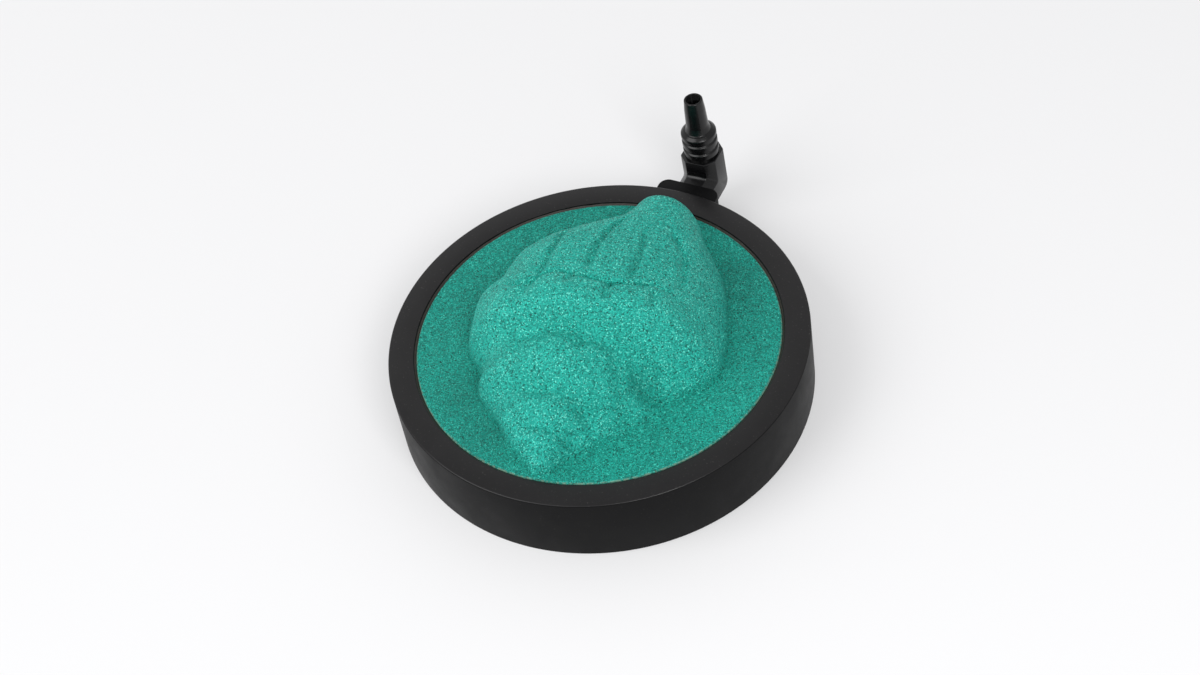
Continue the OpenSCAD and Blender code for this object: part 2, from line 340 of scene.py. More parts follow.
def mouldedAbs(name, finish, values):
    # ABS straight from a steel mould: black, satin, with the mould's fine spark-eroded grain
    material, tree, shader = newMaterial(name, finish["colour"])
    place = addNode(tree, "ShaderNodeTexCoord").outputs["Object"]
    flow = addNode(tree, "ShaderNodeTexNoise", {
        "Vector": place, "Scale": 1 / (values["flowWidth"] * mm), "Detail": 3.0, "Roughness": 0.6})
    grain = addNode(tree, "ShaderNodeTexNoise", {
        "Vector": place, "Scale": 1 / (values["grainWidth"] * mm), "Detail": 2.0, "Roughness": 0.7})
    # the flow marks are a little darker, lighter, glossier and duller than the rest
    low, high = 1 - values["flowContrast"], 1 + values["flowContrast"]
    tone = addNode(tree, "ShaderNodeValToRGB", {"Fac": flow.outputs["Fac"]})
    for stop, position, factor in zip(tone.color_ramp.elements, (0.3, 0.7), (low, high)):
        stop.position = position
        stop.color = tuple(c * factor for c in hexToLinear(finish["colour"])[:3]) + (1,)
    gloss = addNode(tree, "ShaderNodeMapRange", {
        "Value": flow.outputs["Fac"], "From Min": 0.3, "From Max": 0.7,
        "To Min": finish["roughness"] * low, "To Max": finish["roughness"] * high})
    tree.links.new(gloss.outputs["Result"], shader.inputs["Roughness"])
    # painted highlight: convex edges painted a lighter grey where they catch light, and thin dust
    bend = addNode(tree, "ShaderNodeNewGeometry")
    edge = addNode(tree, "ShaderNodeMapRange", {
        "Value": bend.outputs["Pointiness"], "From Min": 0.52, "From Max": 0.62,
        "To Min": 0.0, "To Max": finish["edgeHighlight"]})
    worn = addNode(tree, "ShaderNodeMix", {
        0: edge.outputs["Result"], 6: tone.outputs["Color"], 7: hexToLinear(values["edgeHighlightColour"])},
        data_type="RGBA")
    speck = addNode(tree, "ShaderNodeTexNoise", {
        "Vector": place, "Scale": 1 / (values["dustWidth"] * mm), "Detail": 2.0})
    dust = addNode(tree, "ShaderNodeMapRange", {
        "Value": speck.outputs["Fac"], "From Min": 0.66, "From Max": 0.78,
        "To Min": 0.0, "To Max": finish["dust"]})
    dusty = addNode(tree, "ShaderNodeMix", {
        0: dust.outputs["Result"], 6: worn.outputs[2], 7: hexToLinear(values["dustColour"])},
        data_type="RGBA")
    tree.links.new(dusty.outputs[2], shader.inputs["Base Color"])
    bump = addNode(tree, "ShaderNodeBump", {
        "Strength": finish["grain"], "Distance": values["grainDepth"] * mm, "Height": grain.outputs["Fac"]})
    tree.links.new(bump.outputs["Normal"], shader.inputs["Normal"])
    shader.inputs["IOR"].default_value = values["ior"]
    shader.inputs["Specular IOR Level"].default_value = finish["specular"]
    return material


# two copies of one black ABS: the wall's with painted shade, the rim's with painted light
wallShadedAbs = mouldedAbs("sparkErodedShadedAbs", absValues["trayWall"], absValues)
rimLitAbs = mouldedAbs("polishedMouldLitAbs", absValues["trayRim"], absValues)
elbowAbs = mouldedAbs("glossMouldedAbs", absValues["elbow"], absValues)
print("ABS materials made")


# tray

trayValues = {      # mm
    "rimWidth": 6.75,
    "wall": 2.0,
    "floor": 2.0,
    "ledge": 3.2,
    "recess": 0.6,
    "padRadius": 8.0,
    "footRing": 4.0,
    "postDiameter": 4.0,
    "postPitch": 15.5,
    "ribThickness": 1.4,
    "ribCount": 16,
    "rimEdge": 0.45,        # rounding of the rim's outer edge
    "edge": 0.3,            # rounding of the other edges
    "hiddenEdge": 0.15,
    "segments": 320,
    "tabWidth": 17.5,
    "tabDrop": 2.7,
    "tabCorner": 2.8,
    "tabEdge": 0.35,
    "socketRadius": 3.81,
    "socketLength": 11.2,
    "airway": 3.0,
}


def makeTray(values):
    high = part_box("tray")[1]
    radius, tabFace, top = high.x / mm, high.y / mm, high.z / mm
    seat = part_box("diffuser_stone")[0].z / mm
    inlet = frame["joints"][0]["pos_m"][2] / mm
    wall = values["wall"]
    cup = radius - values["rimWidth"]
    chamber = cup - values["ledge"]
    foot = chamber - values["footRing"]
    edge, fine = values["edge"], values["hiddenEdge"]
    # the two steps of the tray's underside: where each starts and how high it is
    steps = ((chamber + wall / 2, seat - wall / 2), (cup + wall / 2, top - wall / 2))
    corners = [
        (0, 0, 0), (values["padRadius"], 0, fine), (values["padRadius"], values["recess"], fine),
        (foot, values["recess"], fine), (foot, 0, fine), (chamber + wall, 0, 0.25),
        (chamber + wall, seat - wall, edge), (cup + wall, seat - wall, edge),
        (cup + wall, top - wall, edge), (radius - wall, top - wall, edge), (radius - wall, 0, edge),
        (radius, 0, values["rimEdge"]), (radius, top, values["rimEdge"]), (cup, top, edge),
        (cup, seat, fine), (chamber, seat, 0.2), (chamber, values["floor"], edge), (0, values["floor"], 0),
    ]
    outline = [p * mm for p in roundCorners(corners)]
    tray = latheMesh("tray_moulding", outline, values["segments"], wallShadedAbs)

    # ribs, posts and the inlet boss are one more closed shape each, joined to the turned body
    # and reaching a little into it
    rib = values["ribThickness"] / 2
    for i in range(values["ribCount"]):
        turn = Matrix.Rotation((i + 0.5) * 2 * math.pi / values["ribCount"], 4, "Z")
        for inner, height in steps:
            outer = radius - wall / 2
            box = [(x * mm, y * mm) for x, y in ((inner, -rib), (outer, -rib), (outer, rib), (inner, rib))]
            combine(tray, prismMesh("rib", box, 1 * mm, height * mm, wallShadedAbs, turn), "UNION")
    ringRadius = values["postPitch"]
    while ringRadius <= chamber - values["postDiameter"]:
        count = round(2 * math.pi * ringRadius / values["postPitch"])
        for i in range(count):
            a = 2 * math.pi * i / count
            centre = (ringRadius * math.cos(a) * mm, ringRadius * math.sin(a) * mm)
            disc = circlePoints(values["postDiameter"] / 2 * mm, 32, centre)
            combine(tray, prismMesh("post", disc, (values["floor"] - 0.3) * mm, seat * mm, wallShadedAbs), "UNION")
        ringRadius += values["postPitch"]

    half = values["tabWidth"] / 2
    for inner, height in (steps[0], (steps[1][0], top - values["tabDrop"])):
        across = [half - 2 * half * k / 16 for k in range(17)]
        arc = [(x, math.sqrt(inner ** 2 - x ** 2), 0) for x in across]
        corner = values["tabCorner"]
        plan = roundCorners([(-half, tabFace, corner), (half, tabFace, corner)] + arc, 10)
        boss = prismMesh("boss", [p * mm for p in plan], 0, height * mm, wallShadedAbs)
        if height > seat:
            bevelEdges(boss, values["tabEdge"] * mm, 3, 60)
        combine(tray, boss, "UNION")

    # socket and airway along the inlet's axis: radius, start and end behind the tab's face
    lie = Matrix.Translation((0, tabFace * mm, inlet * mm)) @ Matrix.Rotation(math.pi / 2, 4, "X")
    socket = (values["socketRadius"], -1, values["socketLength"])
    airway = (values["airway"] / 2, 1, tabFace - chamber + 2)
    for cutRadius, start, end in (socket, airway):
        ring = circlePoints(cutRadius * mm, 64)
        combine(tray, prismMesh("cut", ring, start * mm, end * mm, wallShadedAbs, lie), "DIFFERENCE")
    smoothFaces(tray, 32)

    # the rim's top is the polished part of the mould; its upward faces also take the lighter black, painted light
    # on the top
    tray.data.materials.append(rimLitAbs)
    for face in tray.data.polygons:
        centre = face.center
        if face.normal.z > 0.6 and centre.z > (top - 1) * mm:
            face.material_index = 1
    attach(tray, "disc")
    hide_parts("tray")


makeTray(trayValues)
print("tray made")


# stone

stoneValues = {     # mm; shares are of the shell's half length and of the relief's height
    "cells": 330,              # squares across the stone's face
    "plateDrop": 0.4,          # the plate's face lies this far under the rim's top
    "relief": 24.25,
    "margin": 0.6,             # flat face left between the shell's ends and the stone's edge
    "edgeRound": 0.5,
    "grain": 0.035,            # height of the granules at the surface
    # place along the shell, its left and right foot, its height, and how soft its right side is
    "stations": (
        (-1.00, 0.08, 0.12, 0.00, 0.80), (-0.94, 0.01, 0.18, 0.17, 0.90),
        (-0.85, -0.14, 0.22, 0.33, 1.10), (-0.745, -0.25, 0.295, 0.435, 1.28),
        (-0.67, -0.365, 0.345, 0.51, 1.36), (-0.60, -0.437, 0.405, 0.59, 1.43),
        (-0.54, -0.453, 0.445, 0.65, 1.44), (-0.48, -0.475, 0.485, 0.72, 1.43),
        (-0.42, -0.55, 0.52, 0.78, 1.40), (-0.36, -0.615, 0.54, 0.83, 1.26),
        (-0.30, -0.64, 0.56, 0.88, 1.08), (-0.19, -0.67, 0.685, 0.96, 0.80),
        (-0.06, -0.68, 0.745, 1.00, 0.68), (0.06, -0.64, 0.735, 0.98, 0.72),
        (0.21, -0.645, 0.69, 0.92, 0.74), (0.38, -0.58, 0.62, 0.82, 0.72),
        (0.55, -0.41, 0.53, 0.70, 0.70), (0.68, -0.24, 0.42, 0.62, 0.68),
        (0.80, -0.18, 0.31, 0.54, 0.66), (0.91, -0.15, 0.23, 0.44, 0.62),
        (0.97, -0.08, 0.15, 0.24, 0.62), (1.00, 0.00, 0.07, 0.00, 0.62),
    ),
    "leftSoftness": 0.52,
    "crownPower": 2.3,         # how flat the shell's back is from side to side
    "apexFade": 0.15,          # whorls swell in over this share from the spire's point
    # where the shoulder and each seam between whorls lie: share across the shell, place along it
    "shoulder": (
        (-1.0, -0.17), (-0.6, -0.13), (-0.3, -0.03), (0.0, -0.02),
        (0.3, 0.01), (0.55, 0.09), (0.8, 0.03), (1.0, -0.05),
    ),
    "seams": (
        ((-1.0, -0.43), (-0.5, -0.40), (-0.2, -0.365), (0.1, -0.305),
         (0.45, -0.29), (0.8, -0.28), (1.0, -0.28)),
        ((-1.0, -0.67), (-0.5, -0.66), (-0.15, -0.63), (0.15, -0.61),
         (0.4, -0.597), (0.8, -0.567), (1.0, -0.54)),
        ((-1.0, -0.84), (-0.5, -0.825), (0.0, -0.808), (0.4, -0.80), (0.7, -0.785), (1.0, -0.75)),
        ((-1.0, -0.915), (0.0, -0.895), (0.5, -0.875), (1.0, -0.85)),
        ((-1.0, -1.03), (1.0, -1.01)),
    ),
    "swell": 0.19,
    "leastSwell": 0.4,         # share of the swell that the shortest whorl keeps
    "fullWhorl": 8.0,          # a whorl this long swells fully
    "swellBase": 0.6,          # share of the bulge that lies under the mean surface
    "bodyRise": 0.42,          # share of the body whorl over which it rises from its seam
    "bodySag": 0.22,           # how much it falls again towards the shoulder
    "whorlLean": 0.72,         # under 1, a whorl is fullest nearer the spire's point
    "whorlPower": 1.4,
    "seamDepth": 0.8,
    "seamWidth": 2.1,
    "detailRise": 2.0,         # seams, knobs and furrows fade out where the relief is lower than this
    "footWall": 0.65,          # low wall at the lip and the skirt
    "footWallWidth": 0.9,
    # rounded knobs, and hollows where the rise is negative: place, rise and radius
    "knobs": (
        (-28.5, -6.5, 1.6, 3.5), (-20.0, -9.0, 0.8, 5.0), (-3.0, -6.5, 0.7, 5.5), (14.0, -4.5, 0.6, 5.5),
        (-14.0, -20.0, 0.5, 5.0), (-1.0, -17.5, 0.7, 4.0), (9.8, -16.5, 0.8, 3.0), (15.9, -16.0, 0.6, 1.8),
        (-6.0, -31.5, 0.5, 3.5), (4.5, -31.0, 0.6, 3.0), (-27.0, 4.5, 0.5, 2.5), (-25.5, 12.0, 0.5, 2.5),
        (20.6, -14.8, -4.3, 3.9), (17.8, -22.0, -3.0, 3.2), (15.0, -21.0, 1.0, 1.8),
        (11.5, -29.5, -2.4, 2.4), (8.5, -36.5, -1.5, 2.0),
    ),
    # faint growth lines across the ribs, which sag towards the sides and stop short of the lip
    "growthPitch": 1.3,
    "growthDepth": 0.08,
    "growthSag": 0.012,
    "growthEnd": 20,
    # furrows in the relief: the points they follow, depth and half width
    "furrows": (
        (((-13.0, -4.0), (-13.0, 1.0), (-14.2, 8.5), (-15.6, 17.0), (-14.5, 25.0)), 1.35, 0.9),
        (((-0.5, 1.0), (-2.1, 8.0), (-3.4, 14.5), (-3.6, 24.5), (-1.5, 32.0)), 1.4, 0.9),
        (((11.0, 1.0), (10.3, 5.0), (9.4, 10.0), (7.7, 16.0), (5.8, 22.5), (4.6, 28.0)), 1.35, 0.9),
        (((21.5, 6.0), (20.3, 12.0), (17.5, 19.5), (12.6, 25.5), (7.5, 30.0)), 1.3, 0.9),
        (((7.4, -0.2), (7.7, -3.5), (9.0, -8.5)), 1.4, 1.1),
        (((-13.0, -4.5), (-13.5, -8.0), (-14.5, -12.0)), 1.1, 1.5),
        (((-2.0, -0.5), (-2.8, -2.5), (-3.6, -5.5)), 1.0, 0.9),
        (((18.0, 2.0), (18.6, -0.8), (19.2, -4.5)), 1.0, 1.0),
        (((-22.5, -5.0), (-19.0, -6.5), (-16.0, -6.0), (-13.0, -5.0), (-9.5, -1.5), (-3.0, -1.0),
          (4.0, -1.0), (9.0, -0.6), (14.0, 2.0), (18.0, 4.4), (22.0, 3.4), (25.5, 0.0)), 1.5, 0.9),
        (((6.3, -14.6), (5.4, -16.8), (4.6, -19.0)), 0.9, 1.2),
        (((-9.0, -17.5), (-10.0, -20.5), (-11.0, -24.0)), 0.55, 1.4),
        (((14.2, -13.8), (13.8, -16.5), (13.2, -19.0)), 0.7, 0.8),
        (((8.6, -31.5), (9.9, -29.0), (10.6, -26.8)), 0.8, 0.7),
        (((8.5, -38.0), (10.5, -35.5), (12.5, -33.0)), 0.8, 1.2),
        # crests stand out instead
        (((15.6, -13.4), (16.6, -15.4), (17.2, -18.5)), -0.55, 0.7),
        (((26.5, -13.4), (29.5, -11.4), (32.6, -8.6), (34.6, -5.4)), -0.5, 0.6),
    ),
}


def rampOf(value):
    # 0 below 0, 1 above 1, and a smooth rise between them
    value = np.clip(value, 0, 1)
    return value * value * (3 - 2 * value)


def curveThrough(where, xs, ys):
    # smooth curve through given points
    xs, ys = np.asarray(xs, float), np.asarray(ys, float)
    slope = np.gradient(ys, xs)
    slope[1:-1] = (ys[2:] - ys[:-2]) / (xs[2:] - xs[:-2])
    where = np.clip(where, xs[0], xs[-1])
    i = np.clip(np.searchsorted(xs, where) - 1, 0, len(xs) - 2)
    step = xs[i + 1] - xs[i]
    u = (where - xs[i]) / step
    return (ys[i] * (2 * u**3 - 3 * u**2 + 1) + slope[i] * step * (u**3 - 2 * u**2 + u)
            + ys[i + 1] * (3 * u**2 - 2 * u**3) + slope[i + 1] * step * (u**3 - u**2))


def nearLine(x, y, points):
    # distance to a smooth line through the points, and how far along it the nearest place is
    points = np.asarray(points, float)
    knots = np.arange(len(points))
    fine = np.linspace(0, len(points) - 1, 6 * (len(points) - 1) + 1)
    lx, ly = curveThrough(fine, knots, points[:, 0]), curveThrough(fine, knots, points[:, 1])
    best = np.full(x.shape, 1e9)
    share = np.zeros(x.shape)
    for k in range(len(fine) - 1):
        dx, dy = lx[k + 1] - lx[k], ly[k + 1] - ly[k]
        u = np.clip(((x - lx[k]) * dx + (y - ly[k]) * dy) / (dx * dx + dy * dy), 0, 1)
        d = np.hypot(x - lx[k] - u * dx, y - ly[k] - u * dy)
        closer = d < best
        best = np.where(closer, d, best)
        share = np.where(closer, (k + u) / (len(fine) - 1), share)
    return best, share


def whorlSwell(along, across, length, values):
    # where the seams lie, and how much each whorl swells between its own two
    side = np.clip(across, -1, 1)
    seams = [curveThrough(side, *zip(*line)) for line in (values["shoulder"], *values["seams"])]
    swell = np.zeros_like(along)
    for k, (upper, lower) in enumerate(zip(seams, seams[1:])):
        part = (along - lower) / (upper - lower)
        here = (part >= 0) & (part < 1)
        part = np.clip(part, 0, 1)
        # the body whorl stays high up to the shoulder; the others are round from seam to seam
        if k == 0:
            bulge = rampOf(part / values["bodyRise"]) - values["bodySag"] * rampOf((part - 0.5) / 0.5)
        else:
            bulge = np.sin(math.pi * part ** values["whorlLean"]) ** values["whorlPower"]
        whorlLength = (upper - lower) * length
        toneAndPaintedLight = values["swell"] * np.clip(whorlLength / values["fullWhorl"], values["leastSwell"], 1)
        swell = np.where(here, toneAndPaintedLight * (bulge - values["swellBase"]), swell)
    return seams, swell * rampOf((along + 1) / values["apexFade"])


def shellHeight(x, y, length, values):
    # height of the conch over the plate, all in mm
    stations = np.array(values["stations"])
    along = y / length
    inside = np.abs(along) < 1
    left, right, top, soft = (curveThrough(along, stations[:, 0], stations[:, k]) for k in (1, 2, 3, 4))
    left, right, top = left * length, right * length, top * values["relief"]
    middle = (left + right) / 2
    half = np.maximum((right - left) / 2, 0.01)
    across = (x - middle) / half
    seams, swell = whorlSwell(along, across, length, values)
    power = np.where(across > 0, soft, values["leftSoftness"])
    reach = np.clip(1 - np.abs(across) ** values["crownPower"], 0, 1)
    height = top * (1 + swell) * reach ** power

    solid = rampOf(height / values["detailRise"])
    for seam in seams[1:]:
        fromSeam = (along - seam) * length / values["seamWidth"]
        height = height - values["seamDepth"] * solid * np.exp(-fromSeam ** 2)
    for knobX, knobY, rise, radius in values["knobs"]:
        height = height + rise * solid * np.exp(-((x - knobX) ** 2 + (y - knobY) ** 2) / radius ** 2)
    growth = np.sin(2 * math.pi * (y + values["growthSag"] * x**2) / values["growthPitch"])
    pastShoulder = rampOf((along - seams[0]) * length / 2) * (x < values["growthEnd"])
    height = height + values["growthDepth"] * growth * solid * pastShoulder
    # the foot's wall runs along the right side, from the spire's point to the skirt's end
    wall = values["footWall"] * rampOf((1 - across) * half / values["footWallWidth"]) * rampOf(across / 0.3)
    height = (height + wall * rampOf((along + 1) / 0.1) * (along < 0.6)) * inside
    for points, depth, width in values["furrows"]:
        distance, share = nearLine(x, y, points)
        ends = rampOf(share / 0.18) * rampOf((1 - share) / 0.3)
        height = height - depth * ends * solid * np.exp(-(distance / width) ** 2)
    return np.maximum(height, 0)


granuleValues = {       # widths, depths and places in mm
    "width": 0.29,             # sieved grit, near its real size
    "light": "#20bda9",
    "body": "#109d8d",
    "dark": "#078072",
    # painted highlight colour for a few granules
    "glint": "#43d3bf",
    "glintShare": 0.08,
    # painted shade colour for a few granules, standing for shaded pores
    "poreShade": "#04584d",
    "poreShadeShare": 0.08,
    "gapShade": 0.45,
    "faceShade": 1.07,
    # painted light and painted sheen on the relief: its colour is multiplied by this
    "reliefTint": (2.7, 1.38, 1.42, 1.0),
    "reliefPaintedLightFrom": 19.4,    # heights between which the relief's painted light comes in
    "reliefTintTo": 22.5,
    "cloudWidth": 3.5,
    "cloudContrast": 0.05,
    # painted shadows beside the shell and in a hollow on it, and painted pools of light on the open plate: place,
    # reach and tone
    "paintedShadowsAndLight": (
        ((38, -14, 19), 20, 1.13), ((22, -35, 19), 16, 1.11), ((-24, -29, 19), 12, 0.80),
        ((-13, -38, 19), 10, 0.80), ((28, 24, 26), 18, 0.88), ((27, 31, 19), 14, 0.86),
        ((20, -16, 24), 7, 0.82), ((-37, 16, 20), 13, 1.08),
    ),
    "scuff": "#86ab96",
    "scuffWidth": 0.4,
    "chipWidth": 0.9,
    "bumpStrength": 0.85,
    "bumpDepth": 0.13,
    "facetsPerGranule": 2.1,
    "roughness": (0.38, 0.85),
    "specular": 0.3,
}


def bondedGranules(values):
    # teal mineral granules cast in a clear binder: rough and matt, with a spark where a facet catches light
    material, tree, shader = newMaterial("bondedMineralGranules", values["body"])
    place = addNode(tree, "ShaderNodeTexCoord").outputs["Object"]
    scale = 1 / (values["width"] * mm)
    cells = addNode(tree, "ShaderNodeTexVoronoi", {"Vector": place, "Scale": scale})
    joints = addNode(tree, "ShaderNodeTexVoronoi", {
        "Vector": place, "Scale": scale}, feature="DISTANCE_TO_EDGE")
    # colour of each granule
    pick = addNode(tree, "ShaderNodeSeparateColor", {"Color": cells.outputs["Color"]})
    tone = addNode(tree, "ShaderNodeValToRGB", {"Fac": pick.outputs["Red"]})
    stops = tone.color_ramp.elements
    stops[0].position, stops[0].color = 0.0, hexToLinear(values["dark"])
    stops[1].position, stops[1].color = 1.0, hexToLinear(values["light"])
    middle = stops.new(0.45)
    middle.color = hexToLinear(values["body"])
    # painted highlights: a few granules painted bright as glints; painted shade: a few painted dark as shaded
    # pores
    glint = addNode(tree, "ShaderNodeMath", {
        0: pick.outputs["Blue"], 1: 1 - values["glintShare"]}, operation="GREATER_THAN")
    poreShade = addNode(tree, "ShaderNodeMath", {
        0: pick.outputs["Blue"], 1: values["poreShadeShare"]}, operation="LESS_THAN")
    bright = addNode(tree, "ShaderNodeMix", {
        0: glint.outputs["Value"], 6: tone.outputs["Color"], 7: hexToLinear(values["glint"])},
        data_type="RGBA")
    grains = addNode(tree, "ShaderNodeMix", {
        0: poreShade.outputs["Value"], 6: bright.outputs[2], 7: hexToLinear(values["poreShade"])}, data_type="RGBA")
    # gaps between granules are darker
    gap = addNode(tree, "ShaderNodeMapRange", {
        "Value": joints.outputs["Distance"], "From Min": 0.0, "From Max": 0.2,
        "To Min": values["gapShade"], "To Max": values["faceShade"]})
    shade = addNode(tree, "ShaderNodeMix", {
        0: 1.0, 6: grains.outputs[2], 7: gap.outputs["Result"]}, data_type="RGBA", blend_type="MULTIPLY")
    # painted light: the relief is painted lighter than the plate from its foot up, and redder so it pales, as a
    # painted sheen
    height = addNode(tree, "ShaderNodeSeparateXYZ", {"Vector": place})
    reliefLightMask = addNode(tree, "ShaderNodeMapRange", {
        "Value": height.outputs["Z"], "To Min": 0.0, "To Max": 1.0,
        "From Min": values["reliefPaintedLightFrom"] * mm, "From Max": values["reliefTintTo"] * mm})
    reliefLight = addNode(tree, "ShaderNodeMix", {
        0: reliefLightMask.outputs["Result"], 6: (1.0, 1.0, 1.0, 1.0), 7: values["reliefTint"]}, data_type="RGBA")
    reliefLit = addNode(tree, "ShaderNodeMix", {
        0: 1.0, 6: shade.outputs[2], 7: reliefLight.outputs[2]}, data_type="RGBA", blend_type="MULTIPLY")
    # soft clouds where more or less binder stayed, and larger painted shadows and painted pools of light
    cloud = addNode(tree, "ShaderNodeTexNoise", {
        "Vector": place, "Scale": 1 / (values["cloudWidth"] * mm), "Detail": 3.0})
    clouded = addNode(tree, "ShaderNodeMapRange", {
        "Value": cloud.outputs["Fac"], "From Min": 0.3, "From Max": 0.7,
        "To Min": 1 - values["cloudContrast"], "To Max": 1 + values["cloudContrast"]})
    toneAndPaintedLight = clouded.outputs["Result"]
    # each patch multiplies the colour: under 1 a painted shadow, over 1 a painted pool of light
    for centre, reach, factor in values["paintedShadowsAndLight"]:
        away = addNode(tree, "ShaderNodeVectorMath", {
            0: place, 1: [c * mm for c in centre]}, operation="DISTANCE")
        fade = addNode(tree, "ShaderNodeMapRange", {
            "Value": away.outputs["Value"], "From Min": 0.0, "From Max": reach * mm,
            "To Min": factor, "To Max": 1.0}, interpolation_type="SMOOTHSTEP")
        product = addNode(tree, "ShaderNodeMath", {
            0: toneAndPaintedLight, 1: fade.outputs["Result"]}, operation="MULTIPLY")
        toneAndPaintedLight = product.outputs["Value"]
    mottledAndPaintedLight = addNode(tree, "ShaderNodeMix", {
        0: 1.0, 6: reliefLit.outputs[2], 7: toneAndPaintedLight}, data_type="RGBA", blend_type="MULTIPLY")
    # the plate's brittle edge is scuffed here and there down to pale mineral
    flatPlace = addNode(tree, "ShaderNodeVectorMath", {0: place, 1: [1.0, 1.0, 0.0]}, operation="MULTIPLY")
    fromAxis = addNode(tree, "ShaderNodeVectorMath", {0: flatPlace.outputs["Vector"]}, operation="LENGTH")
    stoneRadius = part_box("diffuser_stone")[1].x
    edge = addNode(tree, "ShaderNodeMapRange", {
        "Value": fromAxis.outputs["Value"], "To Min": 0.0, "To Max": 1.0,
        "From Min": stoneRadius - values["scuffWidth"] * mm, "From Max": stoneRadius - 0.1 * mm})
    chips = addNode(tree, "ShaderNodeTexNoise", {
        "Vector": place, "Scale": 1 / (values["chipWidth"] * mm), "Detail": 5.0})
    chipped = addNode(tree, "ShaderNodeMapRange", {
        "Value": chips.outputs["Fac"], "From Min": 0.42, "From Max": 0.56, "To Min": 0.1, "To Max": 0.9})
    scuffed = addNode(tree, "ShaderNodeMath", {
        0: edge.outputs["Result"], 1: chipped.outputs["Result"]}, operation="MULTIPLY")
    worn = addNode(tree, "ShaderNodeMix", {
        0: scuffed.outputs["Value"], 6: mottledAndPaintedLight.outputs[2], 7: hexToLinear(values["scuff"])},
        data_type="RGBA")
    tree.links.new(worn.outputs[2], shader.inputs["Base Color"])
    # every granule stands up a little, and its own facets tilt it
    dome = addNode(tree, "ShaderNodeMapRange", {
        "Value": joints.outputs["Distance"], "From Min": 0.0, "From Max": 0.35,
        "To Min": 0.0, "To Max": 1.0})
    facets = addNode(tree, "ShaderNodeTexVoronoi", {
        "Vector": place, "Scale": scale * values["facetsPerGranule"]}, distance="CHEBYCHEV")
    rough = addNode(tree, "ShaderNodeMath", {
        0: dome.outputs["Result"], 1: facets.outputs["Distance"]}, operation="ADD")
    bump = addNode(tree, "ShaderNodeBump", {
        "Strength": values["bumpStrength"], "Distance": values["bumpDepth"] * mm,
        "Height": rough.outputs["Value"]})
    tree.links.new(bump.outputs["Normal"], shader.inputs["Normal"])
    gloss = addNode(tree, "ShaderNodeMapRange", {
        "Value": pick.outputs["Green"], "From Min": 0.0, "From Max": 1.0,
        "To Min": values["roughness"][0], "To Max": values["roughness"][1]})
    tree.links.new(gloss.outputs["Result"], shader.inputs["Roughness"])
    shader.inputs["Specular IOR Level"].default_value = values["specular"]
    return material


def makeStone(values, granules):
    low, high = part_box("diffuser_stone")
    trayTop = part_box("tray")[1].z
    face = trayTop / mm - values["plateDrop"]
    radius = high.x / mm
    length = radius - values["margin"]
    cells = values["cells"]
    line = np.linspace(-1, 1, cells + 1)
    u, v = np.meshgrid(line, line)
    # a square grid drawn out to a disc
    x = radius * u * np.sqrt(1 - v**2 / 2)
    y = radius * v * np.sqrt(1 - u**2 / 2)
    z = face + shellHeight(x, y, length, values)
    # granules at the surface
    dice = np.random.default_rng(11)
    speck = dice.normal(size=z.shape)
    speck = (speck + np.roll(speck, 1, 0) + np.roll(speck, 1, 1) + np.roll(speck, (1, 1), (0, 1))) / 2
    rimDistance = radius - np.hypot(x, y)
    z += values["grain"] * np.clip(speck, -2, 2) * rampOf(rimDistance / 0.6)
    # the plate's edge is rounded
    z -= values["edgeRound"] * (1 - np.sqrt(1 - (1 - np.clip(rimDistance / values["edgeRound"], 0, 1)) ** 2))
    side = cells + 1
    points = np.stack([x.ravel(), y.ravel(), z.ravel()], 1) * mm
    index = np.arange(side * side).reshape(side, side)
    quads = np.stack([index[:-1, :-1], index[:-1, 1:], index[1:, 1:], index[1:, :-1]], -1).reshape(-1, 4)
    loop = np.concatenate([index[0, :-1], index[:-1, -1], index[-1, :0:-1], index[:0:-1, 0]])
    bottom = points[loop].copy()
    bottom[:, 2] = low.z
    base = len(points) + np.arange(len(loop))
    turned = np.roll(np.arange(len(loop)), -1)
    walls = np.stack([loop, base, base[turned], loop[turned]], -1)
    faces = [tuple(q) for q in quads] + [tuple(q) for q in walls] + [tuple(base[::-1])]
    stone = meshObject("stone_relief", np.concatenate([points, bottom]), faces, granules)
    fixNormals(stone)
    smoothFaces(stone, 60)
    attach(stone, "disc")
    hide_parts("diffuser_stone")


makeStone(stoneValues, bondedGranules(granuleValues))
print("stone made")


# sealant

sealantValues = {      # mm
    "colour": "#2b221b",
    "darkColour": "#1a1512",
    "dustColour": "#3c463c",
    "lumpWidth": 1.4,
    "lumpDepth": 0.1,
    "dustWidth": 0.3,
    "segments": 900,
    "overlap": 0.28,           # how far the bead creeps over the stone's edge
    "climb": (0.5, 0.26, 0.06),     # how high it stands at the rim, halfway, and by the stone
    "unevenness": 0.11,
    "waveRadius": 14,          # the larger, the more lumps round the bead
}


